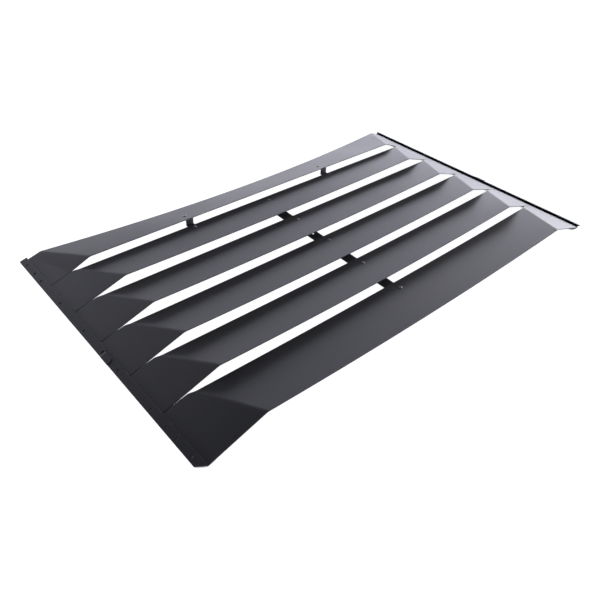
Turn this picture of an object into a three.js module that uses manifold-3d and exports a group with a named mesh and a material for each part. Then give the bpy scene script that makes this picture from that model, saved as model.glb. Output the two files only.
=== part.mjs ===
// Rear window louvre panel: six folded sheet slats carried by two folded side rails (each in
// two lengths), a flat support bar under the middle and two Z brackets under the top slat.
// Millimetres. X runs along the slats, +Y towards the top edge, +Z is the outer, raised face.
// The origin is at the middle of the plan, at the level of the lowest edge of the rails.
import * as THREE from 'three';
import { mergeVertices } from 'three/addons/utils/BufferGeometryUtils.js';
import Module from 'manifold-3d';

const wasm = await Module();
wasm.setup();

// ---- driving dimensions -------------------------------------------------------------------
const SHEET = 2;                // sheet thickness of slats, rails and brackets
const GAP = 0.3;                // clearance left between pieces that touch
const TOP_Y = 366.5;            // overall, top edge to bottom edge
const BOTTOM_Y = -366.5;
const SLATS = 6;
const PITCH = 115;              // spacing of the slits between slats
const FIRST_SLIT_Y = 236;       // slit between slats 1 and 2
const FOLD_X = 583;             // foot of the end folds, where they meet the rails
const BASE_Z = 4.0;             // height of that foot above the lowest edge

// a slat: raised front edge, low back edge, ends folded down to the rails
const FRONT_X = 458;            // end fold at the front edge
const FRONT_Z = 41.2;           // front edge above the foot of the fold, at its ends
const END_SLOPE = FRONT_Z / (FOLD_X - FRONT_X);
const BACK_X = 518;             // end fold at the back edge
const BACK_Z = END_SLOPE * (FOLD_X - BACK_X);
const BACK_SETBACK = 8.5;       // back edge behind the slit line
const SLIT_HALF = 0.5;          // half the width of a slit between two end folds
const SLIT_TIP_X = 530;         // where the see-through gap narrows to a sliver
const SLIT_TIP_SETBACK = 1.6;   // back edge behind the slit there, below slats 2 to 5
const SLIVER_END_X = 548;       // where the sliver closes to a plain slit
const SLIVER_SETBACK = 0.2;
const TOP_FRONT_X = 484;        // slat 1 is a little lower at its front corners, with
const TOP_FRONT_Z = 37.2;       // steeper ends
const TOP_BACK_X = 551;
const TOP_SETBACK = 4;          // its back corners stop short of the top end of the rails
const TOP_BACK_Y = 359;
const TOP_HOLLOW = 36;          // depth of the hollow in the top edge of slat 1
const TOP_BACK_MID_Z = 13.2;
const LAST_SETBACK = 4;         // front edge of the last slat above the bottom end of the rails
const STRIPS = 24;              // strips along the bowed middle of a slat
const FOLD_EASE = 2.5;          // half the width of the rounded end fold
const frontMidZ = (k) => 37.2 - 1.6 * (k - 1);   // the slats bow down in the middle
const backMidZ = (k) => 22.2 - 2 * (k - 2);

// side rails
const LEG_WIDTH = 24;           // hidden leg below the end folds
const RIDGE_Z = 6;              // height of the upstand above the foot of the fold
const RAIL_EDGE_X = 600;        // outer edge of the sloping flange
const RAIL_EDGE_Z = -1.8;
const RIDGE_ROUND = 1.5;
const HOLE_RADIUS = 2.75;
const HOLE_X = 592;
const HOLE_YS = [339, 297, 262, 166, 56, -84, -204, -255, -287, -333];
const SLOT_Y = -22;             // cross slot beside the joint of the two lengths
const SLOT_X = 591.5;
const SLOT_LENGTH = 7;
const SLOT_WIDTH = 3;
const JOINT_Y = -26;            // end of the upper length's upstand
const TONGUE_END_Y = -56;       // end of its lapped tongue
const LAP_STEP = 4;             // length over which the tongue steps up onto the other flange
const LAP_INNER = 3.8;          // clear of the ridge, measured down the flange
const LAP_ROUND = 7;            // its rounded inner corner
const TOP_CUT = 4;              // both ends of a rail are cut on a slant, shorter at the
const BOTTOM_CUT = 18;          // ridge above and longer at the ridge below
const LEG_SETBACK = 14;         // keeps the hidden leg behind the front edge of the last slat

// support bar and brackets
const BAR_X = -10;
const BAR_WIDTH = 30;
const BAR_THICKNESS = 2;
const BAR_TOP_Y = 221;
const BAR_BOTTOM_Y = -259;
const BAR_HOLE_X = -8;
const BAR_HOLE_Y = 24;
const BAR_HOLE_RADIUS = 3;
const BAR_RIVET_X = -3;
const BAR_RIVET_SETBACK = 33;   // rivets in front of each slit line
const BRACKET_X = 224;
const BRACKET_WIDTH = 20;
const BRACKET_WEB_Y = 237.7;
const BRACKET_RIVET_TOP_Y = 261;
const BRACKET_RIVET_FOOT_Y = 214.5;
const RIVET_HOLE = 2.6;
const RIVET_SHANK = 2.2;
const RIVET_HEAD = 4;
const RIVET_DOME = 1.6;
const TAIL_RADIUS = 3.6;        // formed head on the under side
const TAIL_HEIGHT = 1.6;
const TAIL_EASE = 0.4;
const ROUND = 16;               // facets round a hole or rivet

const COAT = { color: 0x1a1b1d, roughness: 0.42, metalness: 0.0 };
const ZINC = { color: 0x3a3b3d, roughness: 0.35, metalness: 0.6 };

// ---- helpers ------------------------------------------------------------------------------
const slitY = (k) => FIRST_SLIT_Y - PITCH * (k - 1);
const mix = (a, b, t) => a + (b - a) * t;

function toSolid(geometry) {
  const g = geometry.clone();
  g.deleteAttribute('normal');
  g.deleteAttribute('uv');
  const m = mergeVertices(g);
  return new wasm.Manifold(new wasm.Mesh({
    numProp: 3,
    vertProperties: new Float32Array(m.attributes.position.array),
    triVerts: new Uint32Array(m.index.array),
  }));
}

function toGeometry(solid) {
  const m = solid.getMesh();
  const g = new THREE.BufferGeometry();
  g.setAttribute('position', new THREE.BufferAttribute(new Float32Array(m.vertProperties), 3));
  g.setIndex(new THREE.BufferAttribute(new Uint32Array(m.triVerts), 1));
  g.computeVertexNormals();
  return g;
}

// An outline of [u, v] points swept from w0 to w1, with u, v and w laid along the given axes.
function sweep(outline, w0, w1, uAxis, vAxis, wAxis) {
  const shape = new THREE.Shape(outline.map(([u, v]) => new THREE.Vector2(u, v)));
  const g = new THREE.ExtrudeGeometry(shape, { depth: w1 - w0, bevelEnabled: false });
  g.translate(0, 0, w0);
  g.applyMatrix4(new THREE.Matrix4().makeBasis(uAxis, vAxis, wAxis));
  return g;
}

const X = new THREE.Vector3(1, 0, 0);
const Y = new THREE.Vector3(0, 1, 0);
const Z = new THREE.Vector3(0, 0, 1);
const alongX = (yz, x0, x1) => sweep(yz, x0, x1, Y, Z, X);
const alongY = (xz, y0, y1) => sweep(xz, -y1, -y0, X, Z, Y.clone().negate());
const alongZ = (xy, z0, z1) => sweep(xy, z0, z1, X, Y, Z);

// A round punch through a sheet at a point, along a normal direction.
function punch(point, normal, radius) {
  const g = new THREE.CylinderGeometry(radius, radius, 12 * SHEET, ROUND);
  g.applyQuaternion(new THREE.Quaternion().setFromUnitVectors(Y, normal));
  g.translate(point.x, point.y, point.z);
  return toSolid(g);
}

const group = new THREE.Group();

function addMesh(name, geometry, look) {
  const mesh = new THREE.Mesh(geometry, new THREE.MeshStandardMaterial(look));
  mesh.name = name;
  group.add(mesh);
  return mesh;
}

// ---- slats --------------------------------------------------------------------------------
// Position along the bowed middle part: s runs from -1 to 1 between the two end folds.
function slatShape(k) {
  const top = k === 1;
  const last = k === SLATS;
  return {
    frontX: top ? TOP_FRONT_X : FRONT_X,
    backX: top ? TOP_BACK_X : BACK_X,
    frontY: last ? BOTTOM_Y + LAST_SETBACK : slitY(k) + SLIT_HALF,
    backY: (s) => (top ? TOP_BACK_Y - TOP_HOLLOW * (1 - s * s) : slitY(k - 1) - BACK_SETBACK),
    frontZ: (s) => mix(frontMidZ(k), top ? TOP_FRONT_Z : FRONT_Z, s * s),
    backZ: (s) => (top ? mix(TOP_BACK_MID_Z, topBackEndZ(), s * s) : mix(backMidZ(k), BACK_Z, s * s)),
    footBackY: top ? TOP_Y - TOP_SETBACK : slitY(k - 1) - SLIT_HALF,
  };
}

function topBackEndZ() {
  return (TOP_FRONT_Z / (FOLD_X - TOP_FRONT_X)) * (FOLD_X - TOP_BACK_X);
}

// Height of a slat's upper face at a plan position on its bowed middle part.
function slatTop(k, x, y) {
  const f = slatShape(k);
  let s = x / f.frontX;
  let v = 0;
  for (let i = 0; i < 8; i += 1) {
    v = (f.backY(s) - y) / (f.backY(s) - f.frontY);
    s = x / mix(f.backX, f.frontX, v);
  }
  return BASE_Z + mix(f.backZ(s), f.frontZ(s), v);
}

function slatNormal(k, x, y) {
  const dx = (slatTop(k, x + 1, y) - slatTop(k, x - 1, y)) / 2;
  const dy = (slatTop(k, x, y + 1) - slatTop(k, x, y - 1)) / 2;
  return new THREE.Vector3(-dx, -dy, 1).normalize();
}

// Matching points on the back and front edges of the upper face, left rail to right rail.
function slatEdges(k) {
  const f = slatShape(k);
  const foot = FOLD_X - GAP;
  const half = [];
  for (let i = 0; i <= STRIPS / 2; i += 1) {
    const s = (2 * i) / STRIPS;
    const ease = i === STRIPS / 2 ? 1 - FOLD_EASE / f.frontX : s;
    half.push({
      back: [f.backX * ease, f.backY(ease), f.backZ(ease)],
      front: [f.frontX * ease, f.frontY, f.frontZ(ease)],
    });
  }
  const onEnd = (x0, y0, z0, y1, t) => [mix(x0, foot, t), mix(y0, y1, t), mix(z0, 0.1, t)];
  const cornerBack = [f.backX, f.backY(1), f.backZ(1)];
  const cornerFront = [f.frontX, f.frontY, f.frontZ(1)];
  const easeBack = FOLD_EASE / (foot - f.backX);
  const easeFront = FOLD_EASE / (foot - f.frontX);
  half.push({
    back: [cornerBack[0], cornerBack[1], cornerBack[2] - 0.15],
    front: [cornerFront[0], cornerFront[1], cornerFront[2] - 0.15],
  });
  const tipSetback = k === 2 ? SLIVER_SETBACK : SLIT_TIP_SETBACK;
  const tipY = k === 1 ? mix(cornerBack[1], f.footBackY, 0.5) : f.footBackY - tipSetback;
  const tipX = k === 1 ? mix(TOP_BACK_X, foot, 0.5) : SLIT_TIP_X;
  const tipT = (tipX - f.backX) / (foot - f.backX);
  half.push({
    back: [cornerBack[0] + FOLD_EASE, mix(cornerBack[1], tipY, easeBack / tipT),
      mix(cornerBack[2], 0.1, easeBack)],
    front: onEnd(...cornerFront, f.frontY, easeFront),
  });
  const frontTip = onEnd(...cornerFront, f.frontY, tipT);
  if (k === 1) frontTip[2] = END_SLOPE * (FOLD_X - frontTip[0]);   // eases down to slat 2's ends
  half.push({ back: [tipX, tipY, mix(cornerBack[2], 0.1, tipT)], front: frontTip });
  if (k > 1) {
    const endT = (SLIVER_END_X - f.backX) / (foot - f.backX);
    half.push({
      back: [SLIVER_END_X, f.footBackY - SLIVER_SETBACK, mix(cornerBack[2], 0.1, endT)],
      front: onEnd(...cornerFront, f.frontY, endT),
    });
  }
  half.push({
    back: [foot, f.footBackY, 0.1],
    front: [foot, f.frontY, 0.1],
  });
  const flip = ([x, y, z]) => [-x, y, z];
  const left = half.slice(1).reverse().map((e) => ({ back: flip(e.back), front: flip(e.front) }));
  return left.concat(half);
}

// Closed sheet below a ruled surface between two edges that run from left to right.
function sheetGeometry(edges) {
  const rows = edges.map(({ back, front }) => [
    [back[0], back[1], back[2] + BASE_Z],
    [front[0], front[1], front[2] + BASE_Z],
    [front[0], front[1], front[2] + BASE_Z - SHEET],
    [back[0], back[1], back[2] + BASE_Z - SHEET],
  ]);
  const index = [];
  const quad = (a, b, c, d) => index.push(a, b, c, a, c, d);
  const last = rows.length - 1;
  for (let i = 0; i < last; i += 1) {
    for (let j = 0; j < 4; j += 1) {
      const n = (j + 1) % 4;
      quad(4 * i + j, 4 * i + n, 4 * (i + 1) + n, 4 * (i + 1) + j);
    }
  }
  quad(0, 3, 2, 1);
  quad(4 * last, 4 * last + 1, 4 * last + 2, 4 * last + 3);
  const g = new THREE.BufferGeometry();
  g.setAttribute('position', new THREE.Float32BufferAttribute(rows.flat(2), 3));
  g.setIndex(index);
  return g;
}

// ---- rivets: where they go ----------------------------------------------------------------
const barTop = (y) => {
  const k = (FIRST_SLIT_Y - BACK_SETBACK - y) / PITCH + 2;
  return BASE_Z + backMidZ(k) - SHEET - GAP;
};

const rivets = [];
for (let k = 2; k <= SLATS; k += 1) {
  const y = slitY(k - 1) - BAR_RIVET_SETBACK;
  const z = slatTop(k, BAR_RIVET_X, y);
  rivets.push({
    name: `bar_rivet_${k}`,
    slat: k,
    at: new THREE.Vector3(BAR_RIVET_X, y, z),
    normal: slatNormal(k, BAR_RIVET_X, y),
    depth: z - barTop(y) + BAR_THICKNESS + 1,
    under: 'bar',
  });
}
for (const [side, sideName] of [[-1, 'left'], [1, 'right']]) {
  const x = side * BRACKET_X;
  const places = [[1, BRACKET_RIVET_TOP_Y, 'top'], [2, BRACKET_RIVET_FOOT_Y, 'foot']];
  for (const [k, y, end] of places) {
    rivets.push({
      name: `bracket_rivet_${sideName}_${end}`,
      slat: k,
      at: new THREE.Vector3(x, y, slatTop(k, x, y)),
      normal: slatNormal(k, x, y),
      depth: 2 * SHEET + 3 * GAP,
      under: sideName,
    });
  }
}

for (let k = 1; k <= SLATS; k += 1) {
  let slat = toSolid(sheetGeometry(slatEdges(k)));
  for (const r of rivets.filter((q) => q.slat === k)) {
    slat = slat.subtract(punch(r.at, r.normal, RIVET_HOLE));
  }
  addMesh(`slat_${k}`, toGeometry(slat), COAT);
}

// ---- side rails ---------------------------------------------------------------------------
// Section, outward in x: hidden leg under the end folds, upstand, sloping flange.
function railSection(side) {
  const under = (x) => END_SLOPE * (FOLD_X - x) - SHEET - GAP - 0.15;
  const run = RAIL_EDGE_X - FOLD_X;
  const drop = RIDGE_Z - RAIL_EDGE_Z;
  const slant = Math.hypot(run, drop);
  const [nx, nz] = [drop / slant, run / slant];
  const inX = FOLD_X - LEG_WIDTH;
  const wallX = FOLD_X + SHEET;
  const flangeUnder = (x) => RIDGE_Z - ((x - FOLD_X) * drop) / run - SHEET / nz;
  const low = RAIL_EDGE_Z - nz * SHEET;           // the heel is flat and level with the edge
  const heelX = FOLD_X - (low + 2 * SHEET + GAP + 0.15) / END_SLOPE;
  return [
    [inX, under(inX)],
    [FOLD_X, under(FOLD_X)],
    [FOLD_X, RIDGE_Z - RIDGE_ROUND],
    [FOLD_X + 0.35, RIDGE_Z - 0.55],
    [FOLD_X + RIDGE_ROUND, RIDGE_Z - (RIDGE_ROUND * drop) / run],
    [RAIL_EDGE_X, RAIL_EDGE_Z],
    [RAIL_EDGE_X - nx * SHEET, RAIL_EDGE_Z - nz * SHEET],
    [wallX, flangeUnder(wallX)],
    [wallX, low],
    [heelX, low],
    [inX, under(inX) - SHEET],
  ].map(([x, z]) => [side * x, z + BASE_Z]);
}

// Flange frame: origin on the ridge line, u down the flange, n out of it.
function flangeFrame(side) {
  const u = new THREE.Vector3(side * (RAIL_EDGE_X - FOLD_X), 0, RAIL_EDGE_Z - RIDGE_Z).normalize();
  const n = new THREE.Vector3(-u.z * side, 0, Math.abs(u.x));
  return { u, n, origin: new THREE.Vector3(side * FOLD_X, 0, RIDGE_Z + BASE_Z) };
}

function onFlange(side, x, y) {
  const t = (x - FOLD_X) / (RAIL_EDGE_X - FOLD_X);
  return new THREE.Vector3(side * x, y, BASE_Z + mix(RIDGE_Z, RAIL_EDGE_Z, t));
}

function flangeSolid(side, outline, w0, w1, turned) {
  const { u, n, origin } = flangeFrame(side);
  const axes = turned ? [Y, n, u] : [u, Y, n];
  const flips = new THREE.Matrix4().makeBasis(...axes).determinant() < 0;
  if (flips) {
    axes[2] = axes[2].clone().negate();
    [w0, w1] = [-w1, -w0];
  }
  const g = sweep(outline, w0, w1, ...axes);
  g.translate(origin.x, origin.y, origin.z);
  return toSolid(g);
}

// Tongue that steps up and laps over the flange of the lower length, inner corner rounded.
function lapTongue(side) {
  const width = Math.hypot(RAIL_EDGE_X - FOLD_X, RIDGE_Z - RAIL_EDGE_Z) + 0.8;
  const step = SHEET + GAP;
  const y0 = JOINT_Y + 2;
  const profile = [
    [y0, 0], [JOINT_Y, 0], [JOINT_Y - LAP_STEP, step], [TONGUE_END_Y, step],
    [TONGUE_END_Y, GAP], [JOINT_Y - LAP_STEP - 0.6, GAP], [JOINT_Y, -SHEET], [y0, -SHEET],
  ];
  const outline = [[LAP_INNER, y0 + 1], [width, y0 + 1], [width, TONGUE_END_Y - 1]];
  for (let i = 0; i <= 4; i += 1) {
    const a = (i / 4) * (Math.PI / 2);
    outline.push([
      LAP_INNER + LAP_ROUND * (1 - Math.sin(a)),
      TONGUE_END_Y + LAP_ROUND * (1 - Math.cos(a)),
    ]);
  }
  const bar = flangeSolid(side, profile, LAP_INNER, width, true);
  return bar.intersect(flangeSolid(side, outline, -3 * SHEET, 3 * SHEET, false));
}

function railLength(side, upper) {
  const y0 = upper ? JOINT_Y : BOTTOM_Y;
  const y1 = upper ? TOP_Y : JOINT_Y - 1;
  const inX = FOLD_X - LEG_WIDTH - 1;
  const out = RAIL_EDGE_X + 3;
  const run = RAIL_EDGE_X - FOLD_X;
  const beyond = (out - FOLD_X) / run;
  let rail = toSolid(alongY(railSection(side), y0, y1));
  const cut = upper
    ? [[inX, y1 - TOP_CUT], [FOLD_X, y1 - TOP_CUT], [out, y1 + TOP_CUT * (beyond - 1)],
      [out, y1 + 5], [inX, y1 + 5]]
    : [[inX, y0 + LEG_SETBACK], [FOLD_X, y0], [out, y0 + BOTTOM_CUT * beyond],
      [out, y0 - 5], [inX, y0 - 5]];
  rail = rail.subtract(toSolid(alongZ(cut.map(([x, y]) => [side * x, y]), -20, 40)));
  if (upper) {
    rail = rail.add(lapTongue(side));
    const half = SLOT_LENGTH / 2;
    const slot = [];
    for (let i = 0; i < ROUND; i += 1) {
      const a = (2 * Math.PI * i) / ROUND;
      const shift = Math.cos(a) >= 0 ? half - SLOT_WIDTH / 2 : SLOT_WIDTH / 2 - half;
      slot.push([side * SLOT_X + shift + (SLOT_WIDTH / 2) * Math.cos(a),
        SLOT_Y + (SLOT_WIDTH / 2) * Math.sin(a)]);
    }
    rail = rail.subtract(toSolid(alongZ(slot, -20, 40)));
  } else {
    const in0 = FOLD_X + SHEET + 0.5;
    const end = JOINT_Y - LAP_STEP - 2;
    const room = [[in0, end], [out, end], [out, 0], [in0, 0]];
    rail = rail.subtract(toSolid(alongZ(room.map(([x, y]) => [side * x, y]), -20, 40)));
  }
  const { n } = flangeFrame(side);
  for (const y of HOLE_YS.filter((h) => h > y0 && h < y1)) {
    rail = rail.subtract(punch(onFlange(side, HOLE_X, y), n, HOLE_RADIUS));
  }
  return rail;
}

for (const [side, sideName] of [[-1, 'left'], [1, 'right']]) {
  addMesh(`rail_${sideName}_upper`, toGeometry(railLength(side, true)), COAT);
  addMesh(`rail_${sideName}_lower`, toGeometry(railLength(side, false)), COAT);
}

// ---- support bar --------------------------------------------------------------------------
function supportBar() {
  const side = [
    [BAR_BOTTOM_Y, barTop(BAR_BOTTOM_Y)],
    [BAR_TOP_Y, barTop(BAR_TOP_Y)],
    [BAR_TOP_Y, barTop(BAR_TOP_Y) - BAR_THICKNESS],
    [BAR_BOTTOM_Y, barTop(BAR_BOTTOM_Y) - BAR_THICKNESS],
  ];
  let bar = toSolid(alongX(side, BAR_X - BAR_WIDTH / 2, BAR_X + BAR_WIDTH / 2));
  for (const r of rivets.filter((q) => q.under === 'bar')) {
    bar = bar.subtract(punch(r.at, r.normal, RIVET_HOLE));
  }
  const spare = new THREE.Vector3(BAR_HOLE_X, BAR_HOLE_Y, barTop(BAR_HOLE_Y));
  return bar.subtract(punch(spare, Z, BAR_HOLE_RADIUS));
}
addMesh('centre_support_bar', toGeometry(supportBar()), COAT);

// ---- Z brackets between slats 1 and 2 -----------------------------------------------------
function bracket(side, sideName) {
  const x = side * BRACKET_X;
  const clear = GAP + 0.15;
  const legEnd = BRACKET_RIVET_TOP_Y + 11;
  const footEnd = BRACKET_RIVET_FOOT_Y - 10;
  const lip = slitY(1) - BACK_SETBACK;
  const legTop = (y) => slatTop(1, x, y) - SHEET - clear;
  const footSlope = (slatTop(2, x, footEnd) - slatTop(2, x, lip)) / (lip - footEnd);
  const footTop = (y) => slatTop(2, x, lip) - SHEET - clear + footSlope * (lip - y);
  const w0 = BRACKET_WEB_Y;
  const w1 = BRACKET_WEB_Y + SHEET;
  const profile = [
    [legEnd, legTop(legEnd)],
    [w0, legTop(w0)],
    [w0, footTop(w0)],
    [footEnd, footTop(footEnd)],
    [footEnd, footTop(footEnd) - SHEET],
    [w1, footTop(w1) - SHEET],
    [w1, legTop(w1) - SHEET],
    [legEnd, legTop(legEnd) - SHEET],
  ];
  const half = BRACKET_WIDTH / 2;
  let z = toSolid(alongX(profile, x - half, x + half));
  for (const r of rivets.filter((q) => q.under === sideName)) {
    z = z.subtract(punch(r.at, r.normal, RIVET_HOLE));
  }
  return z;
}
addMesh('bracket_left', toGeometry(bracket(-1, 'left')), COAT);
addMesh('bracket_right', toGeometry(bracket(1, 'right')), COAT);

// ---- rivets: domed head above, flat head below --------------------------------------------
function rivetGeometry(depth) {
  const tail = -depth - TAIL_HEIGHT;
  const profile = [
    new THREE.Vector2(0, tail),
    new THREE.Vector2(TAIL_RADIUS - TAIL_EASE, tail),
    new THREE.Vector2(TAIL_RADIUS, tail + TAIL_EASE),
    new THREE.Vector2(TAIL_RADIUS, -depth),
    new THREE.Vector2(RIVET_SHANK, -depth),
    new THREE.Vector2(RIVET_SHANK, GAP),
    new THREE.Vector2(RIVET_HEAD, GAP),
  ];
  const rings = 3;
  for (let i = 0; i <= rings; i += 1) {
    const a = (i / rings) * (Math.PI / 2);
    const radius = i === rings ? 0 : RIVET_HEAD * Math.cos(a);
    profile.push(new THREE.Vector2(radius, GAP + 0.3 + (RIVET_DOME - 0.3) * Math.sin(a)));
  }
  return new THREE.LatheGeometry(profile, ROUND);
}

for (const r of rivets) {
  const mesh = addMesh(r.name, toGeometry(toSolid(rivetGeometry(r.depth))), ZINC);
  mesh.position.copy(r.at);
  mesh.quaternion.setFromUnitVectors(Y, r.normal);
}

export default group;
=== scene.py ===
"""Looks for a black rear window louvre panel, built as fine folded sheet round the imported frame.

Lengths in this file are millimetres until a mesh is made, which turns them into metres.
X runs along the slats, +Y towards the top edge, +Z out of the raised, outer face.
"""

import math

import bmesh
import bpy
from mathutils import Matrix, Vector


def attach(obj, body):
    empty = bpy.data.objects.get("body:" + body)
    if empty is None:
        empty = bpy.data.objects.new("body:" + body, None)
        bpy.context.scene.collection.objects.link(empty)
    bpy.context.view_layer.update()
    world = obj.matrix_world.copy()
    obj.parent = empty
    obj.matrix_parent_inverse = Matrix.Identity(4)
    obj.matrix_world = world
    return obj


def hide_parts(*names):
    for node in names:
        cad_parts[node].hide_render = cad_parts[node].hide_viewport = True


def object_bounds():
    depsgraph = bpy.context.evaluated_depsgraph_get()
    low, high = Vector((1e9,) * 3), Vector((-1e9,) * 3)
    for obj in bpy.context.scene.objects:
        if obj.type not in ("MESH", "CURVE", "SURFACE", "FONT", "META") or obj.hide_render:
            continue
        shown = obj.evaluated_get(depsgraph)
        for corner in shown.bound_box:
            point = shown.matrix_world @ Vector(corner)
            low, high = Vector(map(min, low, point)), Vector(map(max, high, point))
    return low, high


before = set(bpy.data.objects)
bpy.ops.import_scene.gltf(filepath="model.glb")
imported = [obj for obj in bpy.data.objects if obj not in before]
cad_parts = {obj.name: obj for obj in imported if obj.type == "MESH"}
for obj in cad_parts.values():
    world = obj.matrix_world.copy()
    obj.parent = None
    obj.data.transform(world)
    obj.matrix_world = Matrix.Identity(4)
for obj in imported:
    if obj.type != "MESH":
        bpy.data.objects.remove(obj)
cad_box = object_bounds()

# ---- driving dimensions ---------------------------------------------------------------------
M = 0.001                       # a millimetre in metres
SHEET = 2.0                     # sheet thickness of slats, rails and brackets
GAP = 0.3                       # clearance between pieces that touch
TOP_Y = cad_box[1].y / M
BOTTOM_Y = cad_box[0].y / M
SLATS = 6
PITCH = 115.0
FIRST_SLIT_Y = 236.0
FOLD_X = 583.0                  # foot of the end folds, where they meet the rails
BASE_Z = 4.0                    # height of that foot above the lowest edge

FRONT_X = 458.0                 # end fold at a slat's front edge
FRONT_Z = 41.2
END_SLOPE = FRONT_Z / (FOLD_X - FRONT_X)
BACK_X = 518.0                  # end fold at a slat's back edge
BACK_Z = END_SLOPE * (FOLD_X - BACK_X)
BACK_SETBACK = 8.5              # back edge behind the slit, over the middle part
SLIT_HALF = 0.5                 # half the width of the cut between two slats
SLIT_TIP_X = 530.0              # where the see-through gap narrows to a sliver
SLIT_TIP_SETBACK = 1.6          # back edge behind the slit there
SLIVER_END_X = 548.0            # where the sliver closes to a plain slit
SLIVER_SETBACK = 0.2
FRONT_MID_Z = 37.2              # the bow: front edge of slat 1 in the middle of the panel
FRONT_MID_FALL = 1.6            # how much lower it is on each next slat
BACK_MID_Z = 22.2               # back edge of slat 2 in the middle
BACK_MID_FALL = 2.0
TOP_FRONT_X = 484.0             # slat 1 has steeper ends and a hollow back edge
TOP_FRONT_Z = 37.2
TOP_BACK_X = 551.0
TOP_SETBACK = 4.0               # its back corners stop short of the rails' top end
TOP_BACK_Y = 359.0
TOP_HOLLOW = 36.0               # how far that edge is hollowed in the middle
TOP_BACK_MID_Z = 13.2
TOP_BACK_END_Z = TOP_FRONT_Z / (FOLD_X - TOP_FRONT_X) * (FOLD_X - TOP_BACK_X)
LAST_SETBACK = 4.0              # slat 6 stops short of the rails' bottom end
FOOT_CLEAR = 0.1                # the coat almost closes the seam between a fold and its rail
COAT_CLEAR = 0.15               # room for the coat where two sheets lie on each other

LEG_WIDTH = 24.0                # hidden leg of a rail, below the end folds
RIDGE_Z = 6.0                   # the rail's bend, above the folds' foot
RAIL_EDGE_X = 600.0
RAIL_EDGE_Z = -1.8              # the flange's outer edge, from the same foot
HOLE_RADIUS = 2.75
HOLE_X = 592.0
HOLE_YS = (339, 297, 262, 166, 56, -84, -204, -255, -287, -333)
SLOT_X = 591.5
SLOT_Y = -22.0
SLOT_LENGTH = 7.0
SLOT_WIDTH = 3.0
JOINT_Y = -26.0                 # the two lengths of a rail meet here
LOWER_GAP = 1.0                 # the lower length starts this far past it
TONGUE_END_Y = -56.0
LAP_STEP = 4.0                  # length of the step up
LAP_STEP_ROOM = 2.0             # the lower flange starts this far past the step
LAP_INNER = 3.8                 # tongue's inner edge, measured down the flange
LAP_ROUND = 7.0
TONGUE_SHEET = 1.0              # the tongue is pressed thin where it laps over
TOP_CUT = 4.0                   # how far the slanting end cuts run back
BOTTOM_CUT = 18.0
LEG_SETBACK = 12.0
HEEL_SETBACK = 9.0              # the upstand's end leans back below the ridge

BAR_X = -10.0
BAR_WIDTH = 30.0
BAR_THICKNESS = 2.0
BAR_TOP_Y = 221.0
BAR_BOTTOM_Y = -259.0
BAR_CORNER = 4.0                # radius of its corners
BAR_HOLE_X = -8.0
BAR_HOLE_Y = 24.0
BAR_HOLE_RADIUS = 3.0
BAR_RIVET_X = -3.0
BAR_RIVET_SETBACK = 33.0        # a rivet's distance from the slit at its slat's back edge
BRACKET_X = 224.0
BRACKET_WIDTH = 20.0
BRACKET_WEB_Y = 237.7
BRACKET_RIVET_TOP_Y = 261.0
BRACKET_RIVET_FOOT_Y = 214.5
BRACKET_LEG_PAST_RIVET = 11.0
BRACKET_FOOT_PAST_RIVET = 10.0
BRACKET_BEND = 2.2              # reach of its two bends
BRACKET_CORNER = 4.0
RIVET_HEAD = 4.0
RIVET_SHANK = 2.2
RIVET_TAIL = 3.6

MIDDLE_STEPS = 44               # mesh steps along half a slat
ACROSS_STEPS = 10               # and across it
FOLD_EASE = 4.5                 # half the length of a rounded end fold
FOLD_STEPS = 8
TIP_EASE = 4.0                  # the same at the corner where a gap narrows
TIP_STEPS = 4
TO_TIP_STEPS = 5                # mesh steps from the fold to that corner
TO_FOOT_STEPS = 3               # from it to the sliver's end, and from there to the foot
TIP_SHARE = 0.9                 # share of the way to the corner where its rounding starts
ROUND = 40                      # facets round a hole or rivet


# ---- materials ------------------------------------------------------------------------------
def node(tree, kind, **values):
    made = tree.nodes.new(kind)
    for name, value in values.items():
        if name in made.inputs:
            made.inputs[name].default_value = value
        else:
            setattr(made, name, value)
    return made


def noise(tree, coords, scale, detail, roughness=0.5):
    made = node(tree, "ShaderNodeTexNoise", Scale=scale, Detail=detail, Roughness=roughness)
    tree.links.new(coords, made.inputs["Vector"])
    return made.outputs["Fac"]


def ranged(tree, value, low, high, start=0.3, stop=0.7):
    made = node(tree, "ShaderNodeMapRange")
    tree.links.new(value, made.inputs["Value"])
    made.inputs["From Min"].default_value = start
    made.inputs["From Max"].default_value = stop
    made.inputs["To Min"].default_value = low
    made.inputs["To Max"].default_value = high
    return made.outputs["Result"]


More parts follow.
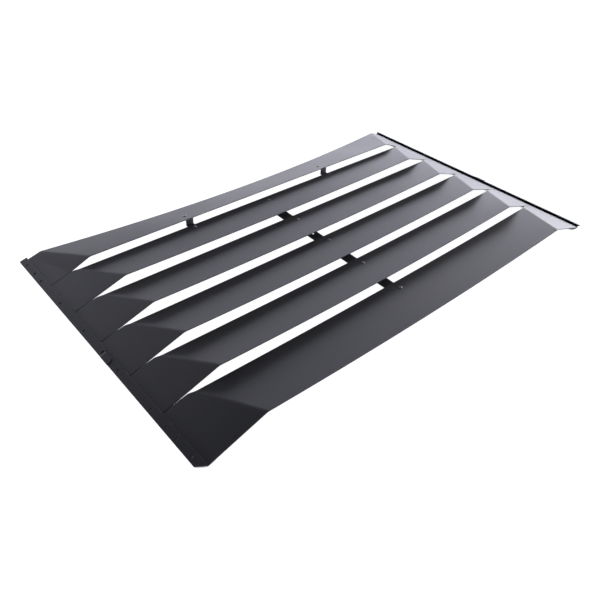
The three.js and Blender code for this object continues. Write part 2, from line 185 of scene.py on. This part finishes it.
def powder_coat(name, dark, light, gloss, peel_depth, ior):
    """Black powder coat: orange peel, fine grain and slightly uneven gloss.

    gloss is the shader's mean roughness, and peel_depth is in metres.
    """
    material = bpy.data.materials.new(name)
    material.use_nodes = True
    tree = material.node_tree
    shader = tree.nodes["Principled BSDF"]
    coords = node(tree, "ShaderNodeTexCoord").outputs["Object"]
    cloudy = noise(tree, coords, 7.0, 3.0)
    grain = noise(tree, coords, 1400.0, 2.0)
    peel = noise(tree, coords, 420.0, 2.0, 0.45)

    tint = node(tree, "ShaderNodeMix", data_type="RGBA")
    both = node(tree, "ShaderNodeMath", operation="ADD")
    tree.links.new(ranged(tree, cloudy, 0.0, 0.6), both.inputs[0])
    tree.links.new(ranged(tree, grain, 0.0, 0.4), both.inputs[1])
    tree.links.new(both.outputs[0], tint.inputs["Factor"])
    tint.inputs["A"].default_value = (*dark, 1.0)
    tint.inputs["B"].default_value = (*light, 1.0)
    tree.links.new(tint.outputs["Result"], shader.inputs["Base Color"])

    uneven = node(tree, "ShaderNodeMath", operation="ADD")
    tree.links.new(ranged(tree, cloudy, gloss - 0.02, gloss + 0.02), uneven.inputs[0])
    tree.links.new(ranged(tree, grain, -0.02, 0.02), uneven.inputs[1])
    tree.links.new(uneven.outputs[0], shader.inputs["Roughness"])

    fine = node(tree, "ShaderNodeBump", Strength=0.25, Distance=0.3 * peel_depth)
    tree.links.new(grain, fine.inputs["Height"])
    soft = node(tree, "ShaderNodeBump", Strength=0.35, Distance=peel_depth)
    tree.links.new(peel, soft.inputs["Height"])
    tree.links.new(fine.outputs["Normal"], soft.inputs["Normal"])
    tree.links.new(soft.outputs["Normal"], shader.inputs["Normal"])
    shader.inputs["IOR"].default_value = ior
    return material


COAT = powder_coat(
    "black_powder_coat", dark=(0.0075, 0.0080, 0.0105), light=(0.0110, 0.0116, 0.0145),
    gloss=0.45, peel_depth=0.00004, ior=1.5,
)
RIVET = powder_coat(
    "black_rivet_paint", dark=(0.016, 0.017, 0.020), light=(0.026, 0.027, 0.031),
    gloss=0.18, peel_depth=0.00002, ior=2.2,
)


# ---- from outlines to pieces ----------------------------------------------------------------
def mix(a, b, t):
    return a + (b - a) * t


def bend(before, corner, after, reach, steps):
    """Points round a bent corner: a quadratic curve that starts and ends reach from it."""
    start = corner + (before - corner).normalized() * reach
    end = corner + (after - corner).normalized() * reach
    points = []
    for i in range(steps + 1):
        t = i / steps
        points.append(start * (1 - t) ** 2 + corner * 2 * t * (1 - t) + end * t * t)
    return points


def make_piece(name, bm, node_names, material):
    bmesh.ops.recalc_face_normals(bm, faces=bm.faces)
    mesh = bpy.data.meshes.new(name)
    bm.to_mesh(mesh)
    bm.free()
    mesh.transform(Matrix.Scale(M, 4))
    for face in mesh.polygons:
        face.use_smooth = True
    piece = bpy.data.objects.new(name, mesh)
    bpy.context.scene.collection.objects.link(piece)
    mesh.materials.append(material)
    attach(piece, "root")
    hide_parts(*node_names)
    return piece


def round_edges(piece, width, segments=3, angle=40):
    bevel = piece.modifiers.new("rounded_edges", "BEVEL")
    bevel.width = width * M
    bevel.segments = segments
    bevel.limit_method = "ANGLE"
    bevel.angle_limit = math.radians(angle)
    normals = piece.modifiers.new("even_shading", "WEIGHTED_NORMAL")
    normals.keep_sharp = True


def thicken(bm, thickness, thinned=None):
    """Closes an open sheet of faces into a solid below it, walls round every edge and hole.

    thinned maps a vertex to the thickness there, where it is not the usual one.
    """
    thinned = thinned or {}
    bmesh.ops.recalc_face_normals(bm, faces=bm.faces)
    if sum(f.normal.z * f.calc_area() for f in bm.faces) < 0:
        bmesh.ops.reverse_faces(bm, faces=bm.faces)
    bm.normal_update()
    offset = {}
    for v in bm.verts:
        # the offset that keeps every face round the vertex at its thickness
        mean = Vector()
        for f in v.link_faces:
            mean += f.normal * v_angle(v, f)
        mean.normalize()
        spread = min(mean.dot(f.normal) for f in v.link_faces)
        offset[v] = v.co - mean * (thinned.get(v, thickness) / max(spread, 0.5))
    low = {v: bm.verts.new(co) for v, co in offset.items()}
    rim = [e for e in bm.edges if e.is_boundary]
    top = list(bm.faces)
    for e in rim:
        loop = e.link_loops[0]
        a, b = loop.vert, loop.link_loop_next.vert
        bm.faces.new((b, a, low[a], low[b]))
    for f in top:
        bm.faces.new([low[v] for v in reversed(f.verts)])


def v_angle(v, face):
    for loop in face.loops:
        if loop.vert is v:
            return loop.calc_angle()
    return 0.0


# ---- slats ----------------------------------------------------------------------------------
def slit_y(k):
    return FIRST_SLIT_Y - PITCH * (k - 1)


def front_mid_z(k):
    return FRONT_MID_Z - FRONT_MID_FALL * (k - 1)


def back_mid_z(k):
    return BACK_MID_Z - BACK_MID_FALL * (k - 2)


def slat_lines(k):
    """Back and front edge of slat k's upper face, from the middle to the fold, s from 0 to 1."""
    if k == 1:
        front_x, back_x, front_z = TOP_FRONT_X, TOP_BACK_X, TOP_FRONT_Z
        mid_z, end_z = TOP_BACK_MID_Z, TOP_BACK_END_Z
    else:
        front_x, back_x, front_z = FRONT_X, BACK_X, FRONT_Z
        mid_z, end_z = back_mid_z(k), BACK_Z
    front_y = BOTTOM_Y + LAST_SETBACK if k == SLATS else slit_y(k) + SLIT_HALF

    def back(s):
        y = TOP_BACK_Y - TOP_HOLLOW * (1 - s * s) if k == 1 else slit_y(k - 1) - BACK_SETBACK
        return Vector((back_x * s, y, mix(mid_z, end_z, s * s)))

    def front(s):
        return Vector((front_x * s, front_y, mix(front_mid_z(k), front_z, s * s)))

    return back, front


def slat_edges(k):
    """Matching points along the back and front edges, from the middle to the right foot."""
    back, front = slat_lines(k)
    foot_x = FOLD_X - FOOT_CLEAR
    back_foot = Vector((foot_x, TOP_Y - TOP_SETBACK if k == 1 else slit_y(k - 1) - SLIT_HALF, 0.0))
    front_foot = Vector((foot_x, front(1).y, 0.0))

    def on_end(x, setback):
        z = mix(back(1).z, 0.0, (x - back(1).x) / (foot_x - back(1).x))
        return Vector((x, back_foot.y - setback, z))

    if k == 1:
        tip, sliver = (mix(back(1), back_foot, share) for share in (0.5, 0.75))
    else:
        tip = on_end(SLIT_TIP_X, SLIVER_SETBACK if k == 2 else SLIT_TIP_SETBACK)
        sliver = on_end(SLIVER_END_X, SLIVER_SETBACK)
    last_s = 1 - FOLD_EASE / front(1).x
    steps = [last_s * i / MIDDLE_STEPS for i in range(MIDDLE_STEPS)]
    backs = [back(s) for s in steps]
    fronts = [front(s) for s in steps]
    backs += bend(back(last_s), back(1), tip, FOLD_EASE, FOLD_STEPS)
    fronts += bend(front(last_s), front(1), front_foot, FOLD_EASE, FOLD_STEPS)
    share = (tip.x - back(1).x) / (foot_x - back(1).x)
    front_tip = mix(front(1), front_foot, share)
    if k == 1:
        front_tip.z = END_SLOPE * (FOLD_X - front_tip.x)    # eases down to slat 2's ends
    tip_round = bend(backs[-1], tip, sliver, TIP_EASE, TIP_STEPS)
    b0, f0 = backs[-1], fronts[-1]
    for i in range(1, TO_TIP_STEPS):
        backs.append(mix(b0, tip_round[0], i / TO_TIP_STEPS))
        fronts.append(mix(f0, front_tip, TIP_SHARE * i / TO_TIP_STEPS))
    past_tip = 2 * (1 - TIP_SHARE) / TIP_STEPS      # the rounding reaches as far past the corner
    for i, point in enumerate(tip_round):
        backs.append(point)
        fronts.append(mix(f0, front_tip, TIP_SHARE + past_tip * i))
    f1 = fronts[-1]
    front_sliver = mix(front(1), front_foot, (sliver.x - back(1).x) / (foot_x - back(1).x))
    front_sliver.z = END_SLOPE * (FOLD_X - front_sliver.x)
    for i in range(1, TO_FOOT_STEPS + 1):
        backs.append(mix(tip_round[-1], sliver, i / TO_FOOT_STEPS))
        fronts.append(mix(f1, front_sliver, i / TO_FOOT_STEPS))
    for i in range(1, TO_FOOT_STEPS + 1):
        backs.append(mix(sliver, back_foot, i / TO_FOOT_STEPS))
        fronts.append(mix(front_sliver, front_foot, i / TO_FOOT_STEPS))
    return backs, fronts


def slat_mesh(k):
    backs, fronts = slat_edges(k)
    mirror = [(Vector((-b.x, b.y, b.z)), Vector((-f.x, f.y, f.z))) for b, f in zip(backs, fronts)]
    rows = mirror[:0:-1] + list(zip(backs, fronts))
    bm = bmesh.new()
    grid = []
    for b, f in rows:
        line = [mix(b, f, j / ACROSS_STEPS) for j in range(ACROSS_STEPS + 1)]
        grid.append([bm.verts.new((p.x, p.y, p.z + BASE_Z)) for p in line])
    for left, right in zip(grid, grid[1:]):
        for j in range(ACROSS_STEPS):
            bm.faces.new((left[j], left[j + 1], right[j + 1], right[j]))
    thicken(bm, SHEET)
    return bm


def slat_top(k, x, y):
    """Height of slat k's upper face at a plan position on its middle part, found step by step."""
    back, front = slat_lines(k)
    s = x / front(1).x
    for _ in range(8):
        v = (back(abs(s)).y - y) / (back(abs(s)).y - front(0).y)
        s = x / mix(back(1).x, front(1).x, v)
    return BASE_Z + mix(back(abs(s)).z, front(abs(s)).z, v)


def slat_normal(k, x, y):
    dx = (slat_top(k, x + 1, y) - slat_top(k, x - 1, y)) / 2
    dy = (slat_top(k, x, y + 1) - slat_top(k, x, y - 1)) / 2
    return Vector((-dx, -dy, 1)).normalized()


for k in range(1, SLATS + 1):
    piece = make_piece(f"louvre_slat_{k}", slat_mesh(k), [f"slat_{k}"], COAT)
    round_edges(piece, 0.45, angle=60)


# ---- side rails -----------------------------------------------------------------------------
FLANGE_RUN = RAIL_EDGE_X - FOLD_X
FLANGE_DROP = RIDGE_Z - RAIL_EDGE_Z
FLANGE_WIDTH = math.hypot(FLANGE_RUN, FLANGE_DROP)
PATCH_HALF = 4.5                # half the height of the cell round a hole
CELL_IN = 5.2                   # sides of those cells, measured down the flange
CELL_OUT = 14.5


def rail_line():
    """The rail's upper surface in section, from the hidden leg to the ridge, as (x, z)."""
    def under(x):
        return END_SLOPE * (FOLD_X - x) - SHEET - GAP - COAT_CLEAR

    leg_in = Vector((FOLD_X - LEG_WIDTH, 0, under(FOLD_X - LEG_WIDTH)))
    heel = Vector((FOLD_X, 0, under(FOLD_X)))
    ridge = Vector((FOLD_X, 0, RIDGE_Z))
    flange_edge = Vector((RAIL_EDGE_X, 0, RAIL_EDGE_Z))
    line = [leg_in] + bend(leg_in, heel, ridge, 0.8, 3)
    return line + bend(heel, ridge, flange_edge, 1.6, 6)


def on_flange(u, lift=0.0):
    """A point of the section down the flange by u, raised along its normal."""
    down = Vector((FLANGE_RUN, 0, -FLANGE_DROP)) / FLANGE_WIDTH
    out = Vector((FLANGE_DROP, 0, FLANGE_RUN)) / FLANGE_WIDTH
    return Vector((FOLD_X, 0, RIDGE_Z)) + down * u + out * lift


def flange_u(x):
    return (x - FOLD_X) / FLANGE_RUN * FLANGE_WIDTH


def hole_outline(u, y, length, width):
    """A round hole, or a slot that runs down the flange."""
    points = []
    for i in range(ROUND):
        a = 2 * math.pi * (i + 0.5) / ROUND
        shift = math.copysign((length - width) / 2, math.cos(a))
        points.append((u + shift + width / 2 * math.cos(a), y + width / 2 * math.sin(a)))
    return points


class Skin:
    """Upper faces of one rail length, with shared corners, mirrored to its side."""

    def __init__(self, side):
        self.bm = bmesh.new()
        self.side = side
        self.known = {}

    def vert(self, point, y):
        key = (round(point.x, 4), round(y, 4), round(point.z, 4))
        if key not in self.known:
            co = (self.side * point.x, y, point.z + BASE_Z)
            self.known[key] = self.bm.verts.new(co)
        return self.known[key]

    def face(self, corners):
        verts = []
        for point, y in corners:
            v = self.vert(point, y)
            if v not in verts:
                verts.append(v)
        if len(verts) > 2:
            self.bm.faces.new(verts)

    def cell_with_hole(self, u0, u1, y0, y1, outline):
        """A flat cell with a hole, as four faces from its sides to the hole."""
        corners = [(u1, y1), (u0, y1), (u0, y0), (u1, y0)]
        quarter = len(outline) // 4
        first = quarter // 2
        for q in range(4):
            a, b = corners[q], corners[(q + 1) % 4]
            arc = [outline[(first + q * quarter + i) % len(outline)] for i in range(quarter + 1)]
            ring = [a] + arc + [b]
            self.face([(on_flange(u), y) for u, y in ring])


def rail_end(x, upper):
    """Where the cut at a rail's outer end crosses the distance x from the middle."""
    out = (x - FOLD_X) / FLANGE_RUN
    if upper:
        return TOP_Y - TOP_CUT * (1 - max(out, 0.0))
    leg = (FOLD_X - x) / LEG_WIDTH
    return BOTTOM_Y + BOTTOM_CUT * max(out, 0.0) + LEG_SETBACK * max(leg, 0.0)


def rail_mesh(side, upper):
    skin = Skin(side)
    line = rail_line()

    def line_end(point):
        lean = 0.0 if upper else HEEL_SETBACK * min(1.0, (RIDGE_Z - point.z) / RIDGE_Z)
        return rail_end(point.x, upper) + max(lean, 0.0)

    joint = JOINT_Y if upper else JOINT_Y - LOWER_GAP
    flange_joint = JOINT_Y if upper else JOINT_Y - LAP_STEP - LAP_STEP_ROOM
    ridge_u = (line[-1] - Vector((FOLD_X, 0, RIDGE_Z))).length
    us = [ridge_u, LAP_INNER, CELL_IN, CELL_OUT, FLANGE_WIDTH]
    for a, b in zip(line, line[1:]):
        skin.face([(a, line_end(a)), (b, line_end(b)), (b, joint), (a, joint)])

    cuts = []
    for y in HOLE_YS:
        if (y > joint) == upper:
            cuts.append((y, hole_outline(flange_u(HOLE_X), y, 2 * HOLE_RADIUS, 2 * HOLE_RADIUS)))
    if upper:
        cuts.append((SLOT_Y, hole_outline(flange_u(SLOT_X), SLOT_Y, SLOT_LENGTH, SLOT_WIDTH)))
    cuts.sort(reverse=upper)
    ys = [None]
    cells = {}
    for y, outline in cuts:
        reach = min(PATCH_HALF, abs(y - joint) - 0.4)
        first, second = (y + reach, y - reach) if upper else (y - reach, y + reach)
        cells[len(ys)] = outline
        ys += [first, second]
    ys.append(flange_joint)

    def row_y(j, u):
        return rail_end(on_flange(u).x, upper) if ys[j] is None else ys[j]

    for j in range(len(ys) - 1):
        for i, (u0, u1) in enumerate(zip(us, us[1:])):
            if i == 0 and ys[j + 1] == flange_joint and not upper:
                corners = [(on_flange(u0), row_y(j, u0)), (on_flange(u1), row_y(j, u1)),
                           (on_flange(u1), flange_joint), (on_flange(u0), joint)]
                skin.face(corners)
            elif i == 2 and j in cells:
                low, high = sorted((ys[j], ys[j + 1]))
                skin.cell_with_hole(u0, u1, low, high, cells[j])
            else:
                skin.face([(on_flange(u0), row_y(j, u0)), (on_flange(u1), row_y(j, u1)),
                           (on_flange(u1), row_y(j + 1, u1)), (on_flange(u0), row_y(j + 1, u0))])
    thinned = lap_tongue(skin, us) if upper else {}
    thicken(skin.bm, SHEET, thinned)
    low = BASE_Z + RAIL_EDGE_Z - SHEET * FLANGE_RUN / FLANGE_WIDTH
    for v in skin.bm.verts:
        v.co.z = max(v.co.z, low)       # the heel is flat and level with the flange's edge
    return skin.bm


def lap_tongue(skin, us):
    """The flange goes on past the joint, thins, steps up and laps over the other length."""
    step = TONGUE_SHEET + GAP
    rows = []
    for i in range(7):
        t = i / 6
        rows.append((JOINT_Y - LAP_STEP * t, step * t * t * (3 - 2 * t), LAP_INNER))
    straight_end = TONGUE_END_Y + LAP_ROUND
    rows.append((straight_end, step, LAP_INNER))
    for i in range(1, 9):
        a = math.pi / 2 * i / 8
        y = straight_end - LAP_ROUND * math.sin(a)
        rows.append((y, step, LAP_INNER + LAP_ROUND * (1 - math.cos(a))))

    def corner(row, u):
        y, lift, inner = row
        share = (u - LAP_INNER) / (FLANGE_WIDTH - LAP_INNER)
        return on_flange(mix(inner, FLANGE_WIDTH + 0.2 * lift / step, share), lift), y

    for a, b in zip(rows, rows[1:]):
        for u0, u1 in zip(us[1:], us[2:]):
            skin.face([corner(a, u0), corner(a, u1), corner(b, u1), corner(b, u0)])
    thinned = {}
    for row in rows[1:]:
        for u in us[1:]:
            thinned[skin.vert(*corner(row, u))] = mix(SHEET, TONGUE_SHEET, row[1] / step)
    return thinned


for side, side_name in ((-1, "left"), (1, "right")):
    for upper, end_name in ((True, "upper"), (False, "lower")):
        name, node_name = f"side_rail_{side_name}_{end_name}", f"rail_{side_name}_{end_name}"
        piece = make_piece(name, rail_mesh(side, upper), [node_name], COAT)
        round_edges(piece, 0.35, angle=50)


# ---- support bar ----------------------------------------------------------------------------
def bar_top(y):
    k = (FIRST_SLIT_Y - BACK_SETBACK - y) / PITCH + 2
    return BASE_Z + back_mid_z(k) - SHEET - GAP


def bar_mesh():
    """Flat bar with rounded corners and one spare hole."""
    bm = bmesh.new()
    x0, x1 = BAR_X - BAR_WIDTH / 2, BAR_X + BAR_WIDTH / 2
    in_x0, in_x1 = x0 + BAR_CORNER, x1 - BAR_CORNER
    in_top, in_bottom = BAR_TOP_Y - BAR_CORNER, BAR_BOTTOM_Y + BAR_CORNER
    outline = []
    for cx, cy, start in ((in_x1, in_top, 0), (in_x0, in_top, 90),
                          (in_x0, in_bottom, 180), (in_x1, in_bottom, 270)):
        for i in range(7):
            a = math.radians(start + 15 * i)
            outline.append((cx + BAR_CORNER * math.cos(a), cy + BAR_CORNER * math.sin(a)))

    def vert(x, y):
        return bm.verts.new((x, y, bar_top(y)))

    ring = [vert(x, y) for x, y in outline]
    hole = [vert(BAR_HOLE_X + BAR_HOLE_RADIUS * math.cos(2 * math.pi * (i + 0.5) / ROUND),
                 BAR_HOLE_Y + BAR_HOLE_RADIUS * math.sin(2 * math.pi * (i + 0.5) / ROUND))
            for i in range(ROUND)]
    reach = 9.0
    upper = [vert(x1, BAR_HOLE_Y + reach), vert(x0, BAR_HOLE_Y + reach)]
    lower = [vert(x0, BAR_HOLE_Y - reach), vert(x1, BAR_HOLE_Y - reach)]
    bm.faces.new(ring[:14] + upper[::-1])
    bm.faces.new(ring[14:] + lower[::-1])
    corners = upper + lower
    quarter = ROUND // 4
    for q in range(4):
        arc = [hole[(quarter // 2 + q * quarter + i) % ROUND] for i in range(quarter + 1)]
        bm.faces.new([corners[q]] + arc + [corners[(q + 1) % 4]])
    thicken(bm, BAR_THICKNESS)
    return bm


bar = make_piece("support_bar", bar_mesh(), ["centre_support_bar"], COAT)
round_edges(bar, 0.5, angle=50)


# ---- Z brackets -----------------------------------------------------------------------------
def bracket_mesh(side):
    """A folded strip: leg under slat 1, web down behind slat 2, foot under slat 2."""
    x = side * BRACKET_X
    half = BRACKET_WIDTH / 2
    clear = GAP + COAT_CLEAR
    leg_end = BRACKET_RIVET_TOP_Y + BRACKET_LEG_PAST_RIVET
    foot_end = BRACKET_RIVET_FOOT_Y - BRACKET_FOOT_PAST_RIVET
    lip = slit_y(1) - BACK_SETBACK
    slope = (slat_top(2, x, foot_end) - slat_top(2, x, lip)) / (lip - foot_end)

    def leg_z(y):
        return slat_top(1, x, y) - SHEET - clear

    def foot_z(y):
        return slat_top(2, x, lip) - SHEET - clear + slope * (lip - y)

    web = BRACKET_WEB_Y
    points = [Vector((0, leg_end, leg_z(leg_end))), Vector((0, web, leg_z(web))),
              Vector((0, web, foot_z(web))), Vector((0, foot_end, foot_z(foot_end)))]
    drop = (points[1] - points[2]).length
    reach = min(BRACKET_BEND, 0.45 * drop)
    path = [mix(points[0], points[1], t / 4) for t in range(4)]
    path += bend(points[0], points[1], points[2], reach, 6)
    path += bend(points[1], points[2], points[3], reach, 6)
    path += [mix(points[2], points[3], 0.25 + 0.5 * t) for t in (0, 1)]
    along = points[3] - points[2]
    for i in range(7):
        a = math.pi / 2 * i / 6
        path.append(points[3] - along.normalized() * BRACKET_CORNER * (1 - math.sin(a)))
    bm = bmesh.new()
    grid = []
    for p in path:
        left_over = (points[3] - p).length
        wide = half
        if left_over < BRACKET_CORNER:
            inward = BRACKET_CORNER - left_over
            wide = half - BRACKET_CORNER + math.sqrt(BRACKET_CORNER ** 2 - inward ** 2)
        grid.append([bm.verts.new((x + wide * j / 2, p.y, p.z)) for j in (-2, -1, 0, 1, 2)])
    for a, b in zip(grid, grid[1:]):
        for j in range(4):
            bm.faces.new((a[j], a[j + 1], b[j + 1], b[j]))
    thicken(bm, SHEET)
    return bm


for side, side_name in ((-1, "left"), (1, "right")):
    name, node_name = f"z_bracket_{side_name}", f"bracket_{side_name}"
    piece = make_piece(name, bracket_mesh(side), [node_name], COAT)
    round_edges(piece, 0.35, angle=50)


# ---- blind rivets ---------------------------------------------------------------------------
def rivet_profile(depth):
    """Half section from the tail up to the head, as (radius, height above the sheet)."""
    tail = -depth - 1.6
    line = [(0.0, tail + 0.5), (0.9, tail + 0.4), (1.1, tail), (2.4, tail)]
    line += [(2.4 + (RIVET_TAIL - 2.4) * math.sin(a), tail + 0.8 * (1 - math.cos(a)))
             for a in (math.pi / 2 * i / 5 for i in range(1, 6))]
    line += [(RIVET_TAIL, -depth - 0.2), (RIVET_TAIL - 0.3, -depth), (RIVET_SHANK, -depth)]
    line += [(RIVET_SHANK, GAP), (RIVET_HEAD - 0.2, GAP), (RIVET_HEAD, GAP + 0.2)]
    line += [(0.8 + 3.2 * math.cos(a), GAP + 0.3 + 1.3 * math.sin(a))
             for a in (math.pi / 2 * i / 8 for i in range(9))]
    line += [(0.7, GAP + 1.45), (0.6, GAP + 1.2), (0.0, GAP + 1.15)]
    return line


def rivet_mesh(depth, at, normal):
    bm = bmesh.new()
    rings = []
    for radius, height in rivet_profile(depth):
        if radius == 0:
            rings.append([bm.verts.new((0, 0, height))])
            continue
        turns = [2 * math.pi * i / ROUND for i in range(ROUND)]
        rings.append([bm.verts.new((radius * math.cos(a), radius * math.sin(a), height))
                      for a in turns])
    for low, high in zip(rings, rings[1:]):
        for i in range(ROUND):
            j = (i + 1) % ROUND
            corners = [low[i % len(low)], low[j % len(low)],
                       high[j % len(high)], high[i % len(high)]]
            bm.faces.new(list(dict.fromkeys(corners)))
    turn = Vector((0, 0, 1)).rotation_difference(normal).to_matrix().to_4x4()
    bmesh.ops.transform(bm, matrix=Matrix.Translation(at) @ turn, verts=bm.verts)
    return bm


def add_rivet(name, node_name, x, y, k, depth):
    at = Vector((x, y, slat_top(k, x, y)))
    mesh = rivet_mesh(depth, at, slat_normal(k, x, y))
    piece = make_piece(name, mesh, [node_name], RIVET)
    piece.modifiers.new("even_shading", "WEIGHTED_NORMAL")


for k in range(2, SLATS + 1):
    y = slit_y(k - 1) - BAR_RIVET_SETBACK
    depth = slat_top(k, BAR_RIVET_X, y) - bar_top(y) + BAR_THICKNESS + 1
    add_rivet(f"blind_rivet_bar_{k}", f"bar_rivet_{k}", BAR_RIVET_X, y, k, depth)
for side, side_name in ((-1, "left"), (1, "right")):
    x = side * BRACKET_X
    for k, y, end in ((1, BRACKET_RIVET_TOP_Y, "top"), (2, BRACKET_RIVET_FOOT_Y, "foot")):
        add_rivet(f"blind_rivet_{side_name}_{end}", f"bracket_rivet_{side_name}_{end}",
                  x, y, k, 2 * SHEET + 3 * GAP)


# ---- floor, light and camera ----------------------------------------------------------------
FLOOR_HALF = 14.0               # the floor, in metres
FLOOR_DROP = 0.0005             # just below the part
SHADE_REACH = 0.016             # painted shade: the floor's glow dims under sheet this near
SHADE_OPENNESS = (0.28, 0.40)   # painted shade is dark at the first, full white from the second

# headings are degrees right of +Y, heights are degrees above the floor
WINDOW = 13.0                   # radiance of the long window
WINDOW_HEIGHTS = (6.0, 12.0, 19.0)  # full from the first to the second, gone at the last
WINDOW_HEADING = 107.0          # middle of the window
WINDOW_SPOT = (85, 25, 19, 9.0)     # its bright end, as heading, height, radius and radiance
FILL_SPOT = (-7, 37, 22, 1.8)
TINT_SPOT = (85, 25, 25, 1.0)   # where the light turns to the spot's tint
AMBIENT = 0.03                  # faint light all round, strongest overhead
LIGHT_TINT = (0.95, 0.955, 1.09, 1.0)
SPOT_TINT = (0.985, 0.98, 1.03, 1.0)    # the bright end is more neutral

LENS = 36.04                    # millimetres, on a sensor 36 mm wide
CAMERA_AT = (-0.8735, -0.8755, 0.8233)  # metres
CAMERA_HEADING = 42.79
CAMERA_DOWN = 39.14             # degrees below level
CAMERA_ROLL = 2.76


def add_floor():
    """A pale floor that glows evenly, so it stays white, with a painted shadow where the sheet is
    near: ambient occlusion dims its glow there.
    """
    mesh = bpy.data.meshes.new("floor")
    corners = [(FLOOR_HALF * x, FLOOR_HALF * y, 0) for x, y in ((-1, -1), (1, -1), (1, 1), (-1, 1))]
    mesh.from_pydata(corners, [], [(0, 1, 2, 3)])
    floor = bpy.data.objects.new("floor", mesh)
    floor.location.z = -FLOOR_DROP
    bpy.context.scene.collection.objects.link(floor)
    material = bpy.data.materials.new("pale_floor")
    material.use_nodes = True
    tree = material.node_tree
    shader = tree.nodes["Principled BSDF"]
    coords = node(tree, "ShaderNodeTexCoord").outputs["Object"]
    mottle = ranged(tree, noise(tree, coords, 3.0, 2.0), 0.55, 0.75)
    tree.links.new(mottle, shader.inputs["Roughness"])
    shader.inputs["Base Color"].default_value = (0.30, 0.30, 0.31, 1.0)
    shader.inputs["Specular IOR Level"].default_value = 0.0
    shader.inputs["Emission Color"].default_value = (0.99, 0.99, 1.0, 1.0)
    # painted shade: ambient occlusion under the sheet dims the floor's glow, a painted contact
    # shadow
    shade = node(tree, "ShaderNodeAmbientOcclusion", samples=16, Distance=SHADE_REACH)
    dark, white = SHADE_OPENNESS
    glow = ranged(tree, shade.outputs["AO"], 0.02, 1.0, start=dark, stop=white)
    tree.links.new(glow, shader.inputs["Emission Strength"])
    mesh.materials.append(material)


def add_studio():
    """A dark studio with one long, low window on the right and a faint fill on the left."""
    world = bpy.data.worlds.new("studio")
    bpy.context.scene.world = world
    world.use_nodes = True
    tree = world.node_tree
    background = tree.nodes["Background"]
    coords = node(tree, "ShaderNodeTexCoord").outputs["Generated"]

    def toward(turn, lift):
        """How far a direction points to a heading right of +Y and a height, both in degrees."""
        turn, lift = math.radians(turn), math.radians(lift)
        made = node(tree, "ShaderNodeVectorMath", operation="DOT_PRODUCT")
        tree.links.new(coords, made.inputs[0])
        made.inputs[1].default_value = (
            math.sin(turn) * math.cos(lift), math.cos(turn) * math.cos(lift), math.sin(lift))
        return made.outputs["Value"]

    def combined(operation, a, b):
        made = node(tree, "ShaderNodeMath", operation=operation)
        tree.links.new(a, made.inputs[0])
        tree.links.new(b, made.inputs[1])
        return made.outputs[0]

    def spot(turn, lift, radius, strength):
        """A soft round light, brightest in its middle and gone at its radius in degrees."""
        edge = math.cos(math.radians(radius))
        return ranged(tree, toward(turn, lift), 0.0, strength, start=edge, stop=1.0)

    split = node(tree, "ShaderNodeSeparateXYZ")
    tree.links.new(coords, split.inputs[0])
    height = split.outputs["Z"]
    foot, top, fade = (math.sin(math.radians(h)) for h in WINDOW_HEIGHTS)
    window = combined("MULTIPLY", ranged(tree, height, 0.2, 1.0, start=0.0, stop=foot),
                      ranged(tree, height, WINDOW, 0.0, start=top, stop=fade))
    across = ranged(tree, toward(WINDOW_HEADING, 0), 0.16, 1.0, start=0.0, stop=1.0)
    window = combined("ADD", combined("MULTIPLY", window, across), spot(*WINDOW_SPOT))
    fill = combined("ADD", spot(*FILL_SPOT), spot(0, 90, 180, AMBIENT))
    tint = node(tree, "ShaderNodeMix", data_type="RGBA")
    tree.links.new(spot(*TINT_SPOT), tint.inputs["Factor"])
    tint.inputs["A"].default_value = LIGHT_TINT
    tint.inputs["B"].default_value = SPOT_TINT
    tree.links.new(tint.outputs["Result"], background.inputs["Color"])
    tree.links.new(combined("ADD", window, fill), background.inputs["Strength"])


def add_camera():
    data = bpy.data.cameras.new("camera")
    data.sensor_width = 36.0
    data.lens = LENS
    camera = bpy.data.objects.new("camera", data)
    heading, down, roll = (math.radians(a) for a in (CAMERA_HEADING, CAMERA_DOWN, CAMERA_ROLL))
    forward = Vector((math.sin(heading) * math.cos(down),
                      math.cos(heading) * math.cos(down), -math.sin(down)))
    level = Vector((math.cos(heading), -math.sin(heading), 0.0))
    level_up = level.cross(forward)
    right = level * math.cos(roll) + level_up * math.sin(roll)
    up = level_up * math.cos(roll) - level * math.sin(roll)
    turn = Matrix((right, up, -forward)).transposed()
    camera.matrix_world = Matrix.Translation(CAMERA_AT) @ turn.to_4x4()
    bpy.context.scene.collection.objects.link(camera)
    bpy.context.scene.camera = camera


add_floor()
add_studio()
add_camera()
bpy.context.scene.view_settings.view_transform = "Standard"
